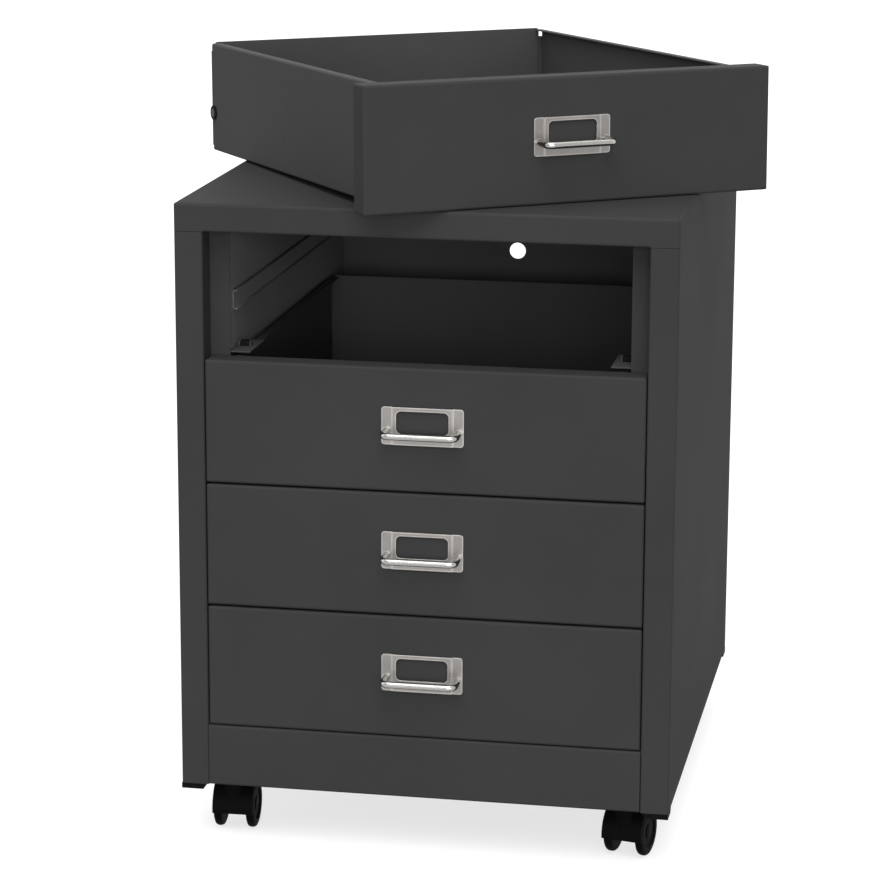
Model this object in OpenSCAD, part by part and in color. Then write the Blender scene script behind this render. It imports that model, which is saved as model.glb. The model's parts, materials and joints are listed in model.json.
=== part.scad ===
// Small steel drawer cabinet on castors: a folded sheet-steel casing with four drawers,
// the top one lifted out and lying across the cabinet's top.
// Cabinet frame: x = 0 on the centreline, y = 0 on the front face, z = 0 on the floor.

/* [Casing] */
// Width of the casing over its side panels
cabinet_w = 400; // [360:1:440]
// Depth of the casing from front face to back
cabinet_d = 465; // [440:1:520]
// Thickness of the steel sheet
sheet = 1.0; // [0.8:0.1:1.2]
// Outside radius of the casing's long folded edges
edge_r = 2.5; // [1.6:0.1:4]
// Inside radius of every small sheet-metal bend
bend_r = 1.0; // [0.5:0.1:1.5]
// Width of the stile faces either side of the drawers
stile_w = 23; // [20:0.5:27]
// Distance from the side to the inner edge of the recessed jamb
jamb_w = 39; // [36:0.5:39]
// Depth from the front face to the recessed jamb
recess_d = 24; // [23:0.5:28]
// Height of the rail folded down from the top cover
top_rail_h = 22.6; // [16:0.2:30]
// Height of the base rail under the lowest drawer
base_rail_h = 51; // [40:1:70]
// Depth of the lip turned down behind the base rail and up behind the top rail
rail_lip = 11; // [6:1:14]
// Height of the top cover's flange at the back
top_back_h = 15; // [10:1:22]
// Width of the flange that each side panel turns in at the back
back_flange = 15; // [12:1:20]
// Height of the flanges round the base pan
pan_flange = 12; // [8:1:16]
// Hairline between two panels that meet on the front
seam = 0.3; // [0.1:0.1:0.5]
// Clearance round a panel that drops in between others
panel_fit = 0.2; // [0.1:0.1:0.4]
// Diameter of the hole in the back panel
back_hole_d = 15; // [10:1:25]
// Height of that hole above the casing's underside
back_hole_h = 369; // [340:1:380]

/* [Drawers] */
// Distance from one drawer to the next
drawer_pitch = 101.6; // [98:0.2:112]
// Shadow gap between two drawer fronts
front_gap = 1.6; // [1:0.2:3]
// Shadow gap between a front and the stile beside it
side_gap = 0.8; // [0.6:0.1:1.5]
// Depth of the box-shaped drawer front
front_d = 20; // [16:0.5:21]
// Width of the flanges turned in behind the drawer front
front_return = 20; // [18:0.5:30]
// Radius of the drawer front's edges and corners
front_r = 2.2; // [1.6:0.1:3]
// Depth of a drawer from its front face to its back wall
drawer_d = 386; // [340:1:400]
// Distance from the end of the front to the side of the tray
tray_inset = 17.2; // [17.2:0.2:19]
// Height of the tray's floor above the front's lower edge
lip = 6; // [5:0.5:8]
// Drop from the front's upper edge to the top of the tray's sides
side_drop = 1.4; // [1:0.2:6]
// Height by which the back wall stands over the sides
back_rise = 1; // [0:0.5:2]
// Width of the hem turned in along the top of the tray's sides
hem_w = 7.5; // [5:0.5:10]
// Width of the slit between a side and the back wall
corner_slit = 2.5; // [2.5:0.5:4]
// Width of the flanges turned in from the sides behind the back wall, and their drop from the top
corner_flange = 14; // [8:1:20]
corner_drop = 6.5; // [4:0.5:12]
// Radius of the back wall's upper corners
back_r = 2.5; // [1:0.5:4]
// Width and height of the lanced slits in the tray's sides
lance_w = 1.2; // [1:0.1:2]
lance_h = 7.5; // [5:0.5:9]
// Height of the slits' middle above the front's lower edge
lance_up = 36; // [30:0.5:42]
// Distance from the front face to the first slit, and from slit to slit
lance_y = 214.7; // [180:0.1:240]
lance_step = 19; // [12:1:26]

/* [Label holder and pull] */
// Width, height and thickness of the label holder
plate_w = 66; // [60:1:80]
plate_h = 30.5; // [28:0.5:34]
plate_t = 0.8; // [0.6:0.1:1]
// Radius of the label holder's corners
plate_r = 2.4; // [1.5:0.1:4]
// Width of the flat ears either side of its raised panel
ear_w = 8.6; // [8:0.2:10]
// Gap behind the raised panel, which holds a label card
card_gap = 1.0; // [0.6:0.1:1.5]
// Width, height and corner radius of the window
window_w = 42; // [36:0.5:44]
window_h = 18; // [14:0.5:19]
window_r = 4; // [1.5:0.5:5]
// Height of the window's centre over the plate's centre
window_up = 3.1; // [1.5:0.1:3.4]
// Height of the plate's centre above the front's lower edge
plate_up = 53.4; // [46:0.1:56]
// Diameter of the pull's rod
rod_d = 5.5; // [4:0.5:6]
// Distance from the plate's end in to the middle of the pull's feet
foot_in = 4; // [3.5:0.1:6]
// Distance from the drawer face to the middle of the rod
pull_out = 18; // [12:0.2:20]
// Distance from the plate's centre down to the rod's middle, and down to the pull's feet
pull_drop = 4.8; // [4:0.1:9]
foot_drop = 4.2; // [3:0.1:5]
// Radius of the rod's bends at its middle
rod_bend = 5; // [4:0.5:6]
// Diameter and thickness of the heads on the pull's feet, inside the drawer
foot_head_d = 8; // [7:0.5:9]
foot_head_h = 1.2; // [1:0.1:2]

/* [Runners] */
// Distance from the side to the inner face of the liner
liner_in = 36.6; // [35:0.1:37]
// Width of the flanges at the liner's ends
liner_flange = 10; // [6:1:14]
// Diameter and width of the roller at the back of each tray side
rear_roller_d = 12.5; // [11:0.5:15]
rear_roller_w = 1.6; // [1.5:0.1:1.7]
// Rounding of a rear roller's tread
rear_tread = 0.5; // [0.3:0.1:0.6]
// Distance from the tray's back wall to the rear roller's axis
rear_roller_in = 7; // [7:0.5:24]
// Height of the rear roller's axis above the tray's floor
rear_roller_up = 33; // [28:1:40]
// Rounding of a front roller's tread
front_tread = 1; // [0.5:0.1:1.5]
// Diameter and width of the roller on each bracket
front_roller_d = 7.2; // [7:0.2:8]
front_roller_w = 7; // [5:0.5:7]
// Distance from the front face to the front roller's axis
front_roller_y = 50; // [40:1:56]
// Distance from the tray's side in to the front roller's outer end
front_roller_in = 0.5; // [0.5:0.1:2]
// Drop from the tray's floor to the bracket's flange
bracket_drop = 5; // [4.6:0.1:5.4]
// Distance from the jamb in to the bracket's inner edge
bracket_reach = 16; // [14:0.5:18]
// Length and height of the bracket
bracket_l = 48; // [44:1:60]
bracket_h = 18; // [12:1:30]
// Radius of the ears that hold the front roller's pin
ear_r = 3; // [2.5:0.1:3.2]
// Distance from the front face to the front end of the tracks
track_y = 42; // [38:1:48]
// Diameter of the rear rollers' pins, and of their heads
pin_d = 4; // [3:0.5:5]
pin_head_d = 7; // [6:0.5:8]
// Diameter of the front rollers' pins
small_pin_d = 3; // [2:0.5:3.5]
// Thickness of the rear pins' heads
pin_head_h = 0.8; // [0.6:0.1:1.2]
// Running clearance on radius between a roller or wheel and its pin
run_fit = 0.05; // [0.02:0.01:0.1]
// Clearance between a roller and what it rolls on
roll_gap = 0.3; // [0.2:0.1:0.5]
// Clearance over the rear roller, under the track's upper flange
track_play = 1.0; // [0.5:0.1:2]
// Clearance beside a roller, and beside the thin ones at the back of the trays
side_play = 0.4; // [0.3:0.1:0.6]
rear_play = 0.15; // [0.1:0.05:0.2]

/* [Castors] */
// Height of the casing's underside above the floor
castor_h = 48; // [48:1:60]
// Distance from the side, and from the front or back, to a castor's stem
stem_in_x = 37.5; // [37:0.5:45]
stem_in_y = 26; // [26:0.5:60]
// Distance from the stem to the wheels' axis
trail = 13; // [10:0.5:14]
// Diameter and width of one wheel
wheel_d = 40; // [36:1:40]
wheel_w = 6.8; // [6:0.2:14]
// Width of the hood's web between the wheels
web_w = 19.4; // [10:0.2:20]
// Radius of the rounded edge on a wheel's outer face
wheel_round = 3; // [1:0.5:3.5]
// Outer and inner diameter and depth of the dish in a wheel's outer face
dish_d = 27; // [22:0.5:30]
dish_hub_d = 12; // [8:0.5:16]
dish_depth = 1.2; // [0.5:0.1:2]
// Thickness left between a wheel's blind bore and its face
wheel_face_t = 2.4; // [2.2:0.1:4]
// Radius of the web round the wheels' axle
web_r = 10; // [8:0.5:12]
// Height over the axle of the hood's front edge, and its drop behind
hood_front_up = 8; // [4:0.5:14]
hood_back_down = 3; // [0:0.5:10]
// Thickness of the hood over the wheels and its gap to them
hood_t = 1.6; // [1.2:0.1:2.2]
hood_gap = 0.6; // [0.4:0.1:1]
// Diameter of the stem and of the boss round it
stem_d = 8; // [6:0.5:10]
boss_d = 17; // [15:0.5:20]
// Length of stem inside the hood
stem_l = 15; // [12:1:18]
// Size, corner radius and thickness of the mounting plate
mount_w = 32; // [30:1:32]
mount_r = 5; // [2:0.5:8]
mount_t = 2.2; // [1.5:0.1:3]
// Spacing, diameter and height of the rivets through that plate
mount_pitch = 23; // [22:0.5:24]
mount_rivet_d = 5; // [4:0.5:6]
mount_rivet_h = 1.0; // [0.6:0.1:1.2]
// Diameter of the castor's axle
axle_d = 5; // [4:0.5:6]
// Angle that each castor points, from straight ahead
yaw_front_left = -178; // [-180:1:180]
yaw_front_right = 168; // [-180:1:180]
yaw_back_left = 28; // [-180:1:180]
yaw_back_right = -36; // [-180:1:180]
// Size and thickness of the corner pads
pad_w = 21; // [16:0.5:24]
pad_h = 4.5; // [3:0.5:4.5]
// Chamfer at the pad's inner ends
pad_cut = 3; // [1:0.5:4]
// Diameter and length of the stud that holds a pad
stud_d = 5; // [4:0.5:6]
stud_l = 3; // [2:0.5:4]

/* [Lifted drawer] */
// Left front lower corner of the drawer on top: across from the centreline, and from the front
lift_x = -38; // [-60:0.5:0]
lift_y = -40.3; // [-60:0.1:-20]
// Angle by which that drawer is turned on the top
lift_turn = 34.5; // [20:0.1:50]
// Gap between that drawer and the top it rests on
rest_gap = 0.15; // [0.1:0.05:0.3]

/* [Hidden] */
drawer_count = 4;
$fn = 48;
past = 1;  // how far a cut runs past the face that it opens
weld = 0.05;  // how far welded sheets sink into each other

// Casing
half_w = cabinet_w / 2;
casing_h = base_rail_h + drawer_count * drawer_pitch + top_rail_h;
rail_z = casing_h - top_rail_h;
opening = half_w - stile_w;
rail_d = recess_d - bend_r / 2;
jamb = half_w - jamb_w;
liner = half_w - liner_in;
bend = bend_r + sheet;

// Drawers
front_w = 2 * (opening - side_gap);
front_h = drawer_pitch - front_gap;
tray_half = front_w / 2 - tray_inset;
side_top = front_h - side_drop;
tray_len = drawer_d - front_d;
plate_face = card_gap + plate_t;
pull_slope = atan2(pull_drop - foot_drop, pull_out);
pull_reach = norm([pull_drop - foot_drop, pull_out]);
foot_x = plate_w / 2 - foot_in;

// Runners
rear_y = drawer_d - rear_roller_in;
rear_outer = tray_half + rear_play + rear_roller_w;
track_low = rear_roller_up - rear_roller_d / 2 - roll_gap;
track_high = rear_roller_up + rear_roller_d / 2 + track_play;
track_edge = tray_half + side_play;
front_roller_x = tray_half - front_roller_in - front_roller_w / 2;
front_roller_z = -roll_gap - front_roller_d / 2;
bracket_edge = jamb - bracket_reach;
bracket_y = recess_d + sheet;

// Castors, with z = 0 on the casing's underside
axle_z = wheel_d / 2 - castor_h;
wheel_x = web_w / 2 + side_play + wheel_w / 2;
castor_w = 2 * wheel_x + wheel_w;
hood_r = wheel_d / 2 + hood_gap;
hood_top = -mount_t - mount_rivet_h;

// The lifted drawer rests on the back edge of its front box and on its back wall's foot
lift_tilt = atan2(lip, tray_len);
lift_rise = front_d * sin(lift_tilt) + rest_gap;

// The origin is the middle of the ground that the cabinet and the lifted drawer cover
reach_left = min(-half_w, lift_x + tray_inset * cos(lift_turn) - drawer_d * sin(lift_turn));
reach_right = max(half_w, lift_x + front_w * cos(lift_turn));
reach_front = min(0, lift_y);
reach_back = max(cabinet_d, lift_y + (front_w - tray_inset) * sin(lift_turn) + drawer_d * cos(lift_turn));
origin_x = (reach_left + reach_right) / 2;
origin_y = (reach_front + reach_back) / 2;

paint = [0.235, 0.243, 0.243];
paint_inside = [0.2, 0.205, 0.205];
nickel = [0.78, 0.77, 0.74];
zinc = [0.62, 0.63, 0.64];
black_plastic = [0.05, 0.05, 0.055];
nylon = [0.09, 0.09, 0.09];

// ---- places ----

// Cabinet frame, from the casing's underside up
module on_casing() translate([-origin_x, -origin_y, castor_h]) children();

// A thing made at x > 0 and its mirror image
module both_sides() {
    children();
    mirror([1, 0, 0]) children();
}

// Height of drawer n's lower edge above the underside; drawer 1 is the top one
function bay_z(n) = base_rail_h + (drawer_count - n) * drawer_pitch + front_gap / 2;

// The frame of drawer n: y = 0 on its face, z = 0 at its lower edge
module at_drawer(n) on_casing() {
    if (n == 1)
        translate([lift_x, lift_y, casing_h + lift_rise])
            rotate([0, 0, lift_turn])
                rotate([-lift_tilt, 0, 0])
                    translate([front_w / 2, 0, 0]) children();
    else
        translate([0, 0, bay_z(n)]) children();
}

// A castor's frame: z = 0 on the underside, its stem at the origin, wheels towards -y
module at_castor(side, end, yaw)
    on_casing()
        translate([side * (half_w - stem_in_x), end > 0 ? cabinet_d - stem_in_y : stem_in_y, 0])
            rotate([0, 0, yaw]) children();

// ---- shapes ----

// An outline drawn in y and z, carried along x from the middle
module along_x(length) translate([-length / 2, 0, 0]) rotate([90, 0, 90]) linear_extrude(length) children();

// An outline drawn in x and z, carried along y from y = 0
module along_y(length) translate([0, length, 0]) rotate([90, 0, 0]) linear_extrude(length) children();

// A turned shape whose axis lies along x, centred
module turned_x(d, length) rotate([0, 90, 0]) cylinder(d = d, h = length, center = true);

// A rectangle whose corners are rounded where ends says so: [low left, low right, high left, high right]
module soft_square(size, r, ends = [1, 1, 1, 1]) difference() {
    square(size);
    for (i = [0:3]) if (ends[i] > 0) {
        right = i % 2;
        high = i > 1 ? 1 : 0;
        translate([right * size.x, high * size.y]) mirror([right, 0]) mirror([0, high])
            difference() {
                translate([-past, -past]) square(r + past);
                translate([r, r]) circle(r);
            }
    }
}

// A box with rounded front edges, and rounded corners where the front is seen square on
module soft_front_box(size, r) intersection() {
    linear_extrude(size.z) soft_square([size.x, size.y], r, [1, 1, 0, 0]);
    along_y(size.y) soft_square([size.x, size.z], r);
    translate([size.x / 2, 0, 0]) along_x(size.x) soft_square([size.y, size.z], r, [1, 0, 1, 0]);
}

// A box with rounded upright and top edges, as a folded casing has
module soft_casing(size, r) intersection() {
    linear_extrude(size.z) soft_square([size.x, size.y], r);
    along_y(size.y) soft_square([size.x, size.z], r, [0, 0, 1, 1]);
    translate([size.x / 2, 0, 0]) along_x(size.x) soft_square([size.y, size.z], r, [0, 0, 1, 1]);
}

// A folded strip of sheet seen end on: its middle line runs through square corners, bent to a radius
module fold(points, t, inner_r) {
    last = len(points) - 1;
    middle_r = inner_r + t / 2;
    for (i = [0:last - 1]) {
        along = (points[i + 1] - points[i]) / norm(points[i + 1] - points[i]);
        from = points[i] + (i > 0 ? middle_r : 0) * along;
        to = points[i + 1] - (i < last - 1 ? middle_r : 0) * along;
        half = [abs(along.y), abs(along.x)] * t / 2;
        translate([min(from.x, to.x), min(from.y, to.y)] - half)
            square([abs(to.x - from.x), abs(to.y - from.y)] + 2 * half);
    }
    for (i = [1:1:last - 1]) {
        before = (points[i] - points[i - 1]) / norm(points[i] - points[i - 1]);
        after = (points[i + 1] - points[i]) / norm(points[i + 1] - points[i]);
        reach = inner_r + t;
        outward = before - after;
        translate(points[i] + middle_r * (after - before)) intersection() {
            difference() {
                circle(reach);
                circle(inner_r);
            }
            translate([min(0, outward.x), min(0, outward.y)] * reach) square(reach);
        }
    }
}

// ---- casing ----

// The casing's skin, closed but for its underside
module casing_skin() difference() {
    translate([-half_w, 0, 0]) soft_casing([cabinet_w, cabinet_d, casing_h], edge_r);
    translate([sheet - half_w, sheet, -past])
        soft_casing([cabinet_w - 2 * sheet, cabinet_d - 2 * sheet, casing_h - sheet + past], edge_r - sheet);
}

// What the top cover takes of that skin: the top, the front rail and a flange at the back
module top_cover_reach() {
    translate([-half_w - past, -past, casing_h - edge_r])
        cube([cabinet_w + 2 * past, cabinet_d + 2 * past, edge_r + past]);
    translate([-half_w - past, -past, rail_z])
        cube([cabinet_w + 2 * past, edge_r + past, top_rail_h]);
    translate([-half_w - past, cabinet_d - edge_r, casing_h - top_back_h])
        cube([cabinet_w + 2 * past, edge_r + past, top_back_h]);
}

module top_cover() color(paint) on_casing() {
    rail_half = opening - panel_fit;
    difference() {
        intersection() {
            casing_skin();
            top_cover_reach();
        }
        translate([-rail_half, -past, rail_z - past]) cube([2 * rail_half, edge_r + past, bend + past]);
    }
    along_x(2 * rail_half)
        fold([
            [sheet / 2, rail_z + bend + sheet],
            [sheet / 2, rail_z + sheet / 2],
            [rail_d - sheet / 2, rail_z + sheet / 2],
            [rail_d - sheet / 2, rail_z + rail_lip]
        ], sheet, bend_r);
}

// One side panel, drawn for the right: back flange, side, stile, cheek, recessed jamb and lip
module side_panel() {
    skin = half_w - sheet / 2;
    cheek = opening + sheet / 2;
    jamb_line = recess_d + sheet / 2;
    difference() {
        union() {
            linear_extrude(casing_h - edge_r) {
                fold([
                    [half_w - back_flange, cabinet_d - sheet / 2],
                    [skin, cabinet_d - sheet / 2],
                    [skin, cabinet_d / 2]
                ], sheet, edge_r - sheet);
                fold([[skin, cabinet_d / 2], [skin, sheet / 2], [half_w - stile_w / 2, sheet / 2]],
                    sheet, edge_r - sheet);
                fold([
                    [half_w - stile_w / 2, sheet / 2],
                    [cheek, sheet / 2],
                    [cheek, jamb_line],
                    [jamb, jamb_line]
                ], sheet, bend_r);
            }
            translate([opening + sheet, sheet, 0])
                cube([stile_w - 2 * sheet, recess_d, sheet]);
        }
        translate([0, -past, rail_z - seam]) cube([half_w + past, edge_r + past, top_rail_h + past]);
        translate([0, cabinet_d - edge_r, casing_h - top_back_h - seam])
            cube([half_w + past, edge_r + past, top_back_h + past]);
        pad_stud_holes();
    }
}

module left_side() color(paint) on_casing() mirror([1, 0, 0]) side_panel();

module right_side() color(paint) on_casing() side_panel();

module back_panel() color(paint) on_casing() difference() {
    translate([edge_r + panel_fit - half_w, cabinet_d - 2 * sheet, sheet])
        cube([cabinet_w - 2 * (edge_r + panel_fit), sheet, casing_h - sheet - edge_r - panel_fit]);
    translate([0, cabinet_d, back_hole_h])
        rotate([90, 0, 0]) cylinder(d = back_hole_d, h = cabinet_d, center = true);
}

module base_pan() color(paint) on_casing() difference() {
    pan_w = cabinet_w - 2 * (sheet + panel_fit);
    pan_y = recess_d + sheet + panel_fit;
    pan_d = cabinet_d - 2 * sheet - panel_fit - pan_y;
    translate([-pan_w / 2, pan_y, 0]) cube([pan_w, pan_d, pan_flange]);
    translate([sheet - pan_w / 2, pan_y + sheet, sheet])
        cube([pan_w - 2 * sheet, pan_d - 2 * sheet, pan_flange]);
    pad_stud_holes();
}

module base_rail() color(paint) on_casing() along_x(2 * (opening - panel_fit))
    fold([
        [rail_d - sheet / 2, base_rail_h - rail_lip],
        [rail_d - sheet / 2, base_rail_h - sheet / 2],
        [sheet / 2, base_rail_h - sheet / 2],
        [sheet / 2, sheet / 2],
        [rail_d, sheet / 2]
    ], sheet, bend_r);

// ---- liners, tracks and brackets ----

module liner_panel() {
    face = liner + sheet / 2;
    foot = pan_flange + panel_fit;
    back_line = cabinet_d - 2 * sheet - sheet / 2;
    translate([0, 0, foot]) linear_extrude(casing_h - sheet - panel_fit - foot)
        fold([
            [face + liner_flange, bracket_y + sheet / 2],
            [face, bracket_y + sheet / 2],
            [face, back_line],
            [face + liner_flange, back_line]
        ], sheet, bend_r);
}

module left_liner() color(paint_inside) on_casing() mirror([1, 0, 0]) liner_panel();

module right_liner() color(paint_inside) on_casing() liner_panel();

// Height of the floor of drawer n's tray when it is in its bay
function floor_z(n) = bay_z(n) + lip;

// The channels that the trays' rear rollers run in
module side_tracks() for (n = [1:drawer_count])
    translate([0, track_y, floor_z(n)])
        along_y(cabinet_d - 3 * sheet - track_y)
            fold([
                [track_edge, track_low - sheet / 2],
                [liner - sheet / 2, track_low - sheet / 2],
                [liner - sheet / 2, track_high + sheet / 2],
                [track_edge, track_high + sheet / 2]
            ], sheet, bend_r);

module left_tracks() color(paint_inside) on_casing() mirror([1, 0, 0]) side_tracks();

module right_tracks() color(paint_inside) on_casing() side_tracks();

// The places of the bracket rollers, x along their pins
module bracket_roller_places() both_sides() for (n = [1:drawer_count])
    translate([front_roller_x, front_roller_y, floor_z(n) + front_roller_z]) children();

module roller_brackets() color(paint_inside) on_casing() {
    slot_w = front_roller_w + 2 * side_play;
    slot_l = front_roller_d + 2 * side_play;
    flange_z = -bracket_drop - front_roller_z;
    difference() {
        union() {
            both_sides() for (n = [1:drawer_count]) translate([0, bracket_y, floor_z(n)]) along_y(bracket_l)
                fold([
                    [liner - sheet / 2, -bracket_drop - bracket_h],
                    [liner - sheet / 2, -bracket_drop - sheet / 2],
                    [bracket_edge, -bracket_drop - sheet / 2]
                ], sheet, bend_r);
            // ears stand up beside the slot and hold the pin
            bracket_roller_places() for (side = [-1, 1]) translate([side * (slot_w + sheet) / 2, 0, 0]) {
                translate([0, 0, flange_z - sheet]) intersection() {
                    translate([0, 0, sheet - flange_z]) turned_x(2 * ear_r, sheet);
                    translate([-sheet, -ear_r, 0]) cube([2 * sheet, 2 * ear_r, 4 * ear_r]);
                }
                translate([-sheet / 2, -ear_r, flange_z - sheet]) cube([sheet, 2 * ear_r, sheet - flange_z]);
            }
        }
        bracket_roller_places() {
            translate([-slot_w / 2, -slot_l / 2, -front_roller_d]) cube([slot_w, slot_l, 2 * front_roller_d]);
            turned_x(small_pin_d, slot_w + 2 * sheet);
        }
    }
}

module bracket_pins() color(zinc) on_casing() bracket_roller_places()
    turned_x(small_pin_d, front_roller_w + 2 * side_play + 2 * sheet);

// A roller with a rounded tread and a bore that runs on its pin
module roller(d, w, pin, tread) difference() {
    rotate([0, 90, 0]) rotate_extrude()
        translate([0, -w / 2]) soft_square([d / 2, w], tread, [0, 1, 0, 1]);
    turned_x(pin + 2 * run_fit, w + 2 * past);
}

module bracket_rollers(n) color(nylon) on_casing() both_sides()
    translate([front_roller_x, front_roller_y, floor_z(n) + front_roller_z])
        roller(front_roller_d, front_roller_w, small_pin_d, front_tread);

// ---- drawers ----

module drawer_front(n) color(paint) at_drawer(n) difference() {
    translate([-front_w / 2, 0, 0]) soft_front_box([front_w, front_d, front_h], front_r);
    translate([sheet - front_w / 2, sheet, sheet])
        soft_front_box([front_w - 2 * sheet, front_d - 2 * sheet, front_h - 2 * sheet], front_r - sheet);
    translate([front_return - front_w / 2, front_d / 2, front_return])
        cube([front_w - 2 * front_return, front_d, front_h - 2 * front_return]);
    pull_foot_places() translate([0, 0, -past]) cylinder(d = rod_d, h = sheet + 2 * past);
}

module drawer_tray(n) color(paint) at_drawer(n) difference() {
    wall = tray_half - sheet / 2;
    floor_line = lip + sheet / 2;
    back_half = tray_half - sheet - corner_slit;
    back_line = drawer_d - 1.5 * sheet + weld;
    back_top = side_top + back_rise;
    union() {
        translate([0, front_d + bend, 0]) along_y(tray_len - bend - sheet - corner_slit)
            fold([
                [hem_w - wall, side_top - sheet / 2],
                [-wall, side_top - sheet / 2],
                [-wall, floor_line],
                [wall, floor_line],
                [wall, side_top - sheet / 2],
                [wall - hem_w, side_top - sheet / 2]
            ], sheet, bend_r);
        along_x(2 * (tray_half - bend))
            fold([
                [front_d + sheet / 2, side_top],
                [front_d + sheet / 2, floor_line],
                [drawer_d / 2, floor_line]
            ], sheet, bend_r);
        intersection() {
            along_x(2 * back_half)
                fold([
                    [drawer_d / 2, floor_line],
                    [back_line, floor_line],
                    [back_line, back_top]
                ], sheet, bend_r);
            translate([-back_half, 0, 0])
                along_y(drawer_d) soft_square([2 * back_half, back_top], back_r, [0, 0, 1, 1]);
        }
        // flanges turned in from the sides and welded behind the back wall
        both_sides() translate([0, 0, lip + bend + corner_slit])
            linear_extrude(side_top - corner_drop - lip - bend - corner_slit)
                fold([
                    [wall, drawer_d - 2 * corner_flange],
                    [wall, drawer_d - sheet / 2],
                    [tray_half - corner_flange, drawer_d - sheet / 2]
                ], sheet, bend_r);
    }
    both_sides() {
        translate([tray_half, rear_y, lip + rear_roller_up]) turned_x(pin_d, 4 * sheet);
        for (i = [0, 1])
            translate([tray_half - 2 * sheet, lance_y + i * lance_step - lance_w / 2, lance_up - lance_h / 2])
                cube([4 * sheet, lance_w, lance_h]);
    }
}

// The two rivets that carry a tray's rear rollers
module drawer_pins(n) color(zinc) at_drawer(n) both_sides() translate([0, rear_y, lip + rear_roller_up]) {
    inner = tray_half - sheet;
    outer = rear_outer - pin_head_h + run_fit;
    translate([(inner + outer) / 2, 0, 0]) turned_x(pin_d, outer - inner);
    translate([outer + pin_head_h / 2, 0, 0]) turned_x(pin_head_d, pin_head_h);
    translate([inner - pin_head_h / 2, 0, 0]) turned_x(pin_head_d, pin_head_h);
}

// The thin rollers, with a seat in the outer face that the pin's head lies flush in
module drawer_rollers(n) color(nylon) at_drawer(n) both_sides()
    translate([rear_outer, rear_y, lip + rear_roller_up]) difference() {
        translate([-rear_roller_w / 2, 0, 0]) roller(rear_roller_d, rear_roller_w, pin_d, rear_tread);
        turned_x(pin_head_d + 2 * run_fit, 2 * pin_head_h);
    }

// ---- label holder and pull, with y = 0 on the drawer's face and z = 0 at the plate's centre ----

module at_plate(n) at_drawer(n) translate([0, 0, plate_up]) children();

// The pull's feet, each with its axis pointing back into the drawer
module pull_foot_places() both_sides()
    translate([foot_x, 0, plate_up - foot_drop]) rotate([-90, 0, 0]) children();

module label_holder(n) color(nickel) at_plate(n) intersection() {
    difference() {
        // seen from above, the strip steps forward from its ears to its raised panel
        translate([0, 0, -plate_h / 2]) linear_extrude(plate_h) difference() {
            translate([-plate_w / 2, -plate_face]) square([plate_w, plate_face]);
            for (x = [-plate_w / 2 - past, plate_w / 2 - ear_w])
                translate([x, -plate_face - past]) square([ear_w + past, card_gap + past]);
            translate([ear_w + plate_t - plate_w / 2, -card_gap])
                square([plate_w - 2 * (ear_w + plate_t), card_gap + past]);
        }
        translate([-window_w / 2, 0, window_up - window_h / 2]) translate([0, -plate_face - past, 0])
            along_y(plate_face + 2 * past) soft_square([window_w, window_h], window_r);
        translate([0, 0, -plate_up]) pull_foot_places()
            translate([0, 0, -plate_face - past]) cylinder(d = rod_d, h = plate_face + 2 * past);
    }
    translate([-plate_w / 2, -plate_face - past, -plate_h / 2])
        along_y(plate_face + 2 * past) soft_square([plate_w, plate_h], plate_r);
}

// A bent rod in one sloping plane: two legs, two bends and a straight grip.
// Legs and grip end a little way inside the bends, which are a hair thicker.
module sloping_rod() rotate([pull_slope, 0, 0]) {
    into_bend = 0.4;
    hair = 0.04;
    both_sides() translate([foot_x, 0, 0]) {
        rotate([90, 0, 0]) cylinder(d = rod_d, h = pull_reach - rod_bend + into_bend);
        translate([-rod_bend, rod_bend - pull_reach, 0]) rotate([0, 0, -90])
            rotate_extrude(angle = 90) translate([rod_bend, 0]) circle(d = rod_d + hair);
    }
    translate([0, -pull_reach, 0]) turned_x(rod_d, 2 * (foot_x - rod_bend + into_bend));
}

// The pull: its rod, and feet that pass through the plate and the drawer's face and are peened behind it
module pull(n) color(nickel) at_plate(n) translate([0, 0, -foot_drop]) {
    difference() {
        sloping_rod();
        translate([-plate_w, -plate_t, -plate_w]) cube([2 * plate_w, plate_w, 2 * plate_w]);
    }
    both_sides() translate([foot_x, -plate_t, 0]) {
        translate([0, -sheet, 0])
            rotate([-90, 0, 0]) cylinder(d = rod_d, h = plate_t + 2 * sheet + foot_head_h);
        translate([0, plate_t + sheet, 0])
            rotate([-90, 0, 0]) cylinder(d = foot_head_d, h = foot_head_h);
    }
}

// ---- castors and pads ----

module mount_rivet_places() for (x = [-1, 1], y = [-1, 1])
    translate([x * mount_pitch / 2, y * mount_pitch / 2, 0]) children();

module castor_mount() {
    translate([-mount_w / 2, -mount_w / 2, -mount_t])
        linear_extrude(mount_t) soft_square([mount_w, mount_w], mount_r);
    translate([0, 0, -mount_t - mount_rivet_h - stem_l])
        cylinder(d = stem_d, h = stem_l + mount_rivet_h + mount_t / 2);
    mount_rivet_places() translate([0, 0, -mount_t - mount_rivet_h])
        cylinder(d = mount_rivet_d, h = mount_rivet_h + mount_t / 2);
}

module castor_mounts() color(zinc) for (side = [-1, 1], end = [-1, 1]) at_castor(side, end, 0) castor_mount();

// Half of a ring over the wheels, drawn in y and z round the axle
module hood_ring() intersection() {
    difference() {
        circle(hood_r + hood_t);
        circle(hood_r);
    }
    union() {
        translate([-wheel_d, hood_front_up]) square([2 * wheel_d, wheel_d]);
        translate([0, -hood_back_down]) square([wheel_d, wheel_d]);
    }
}

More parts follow.
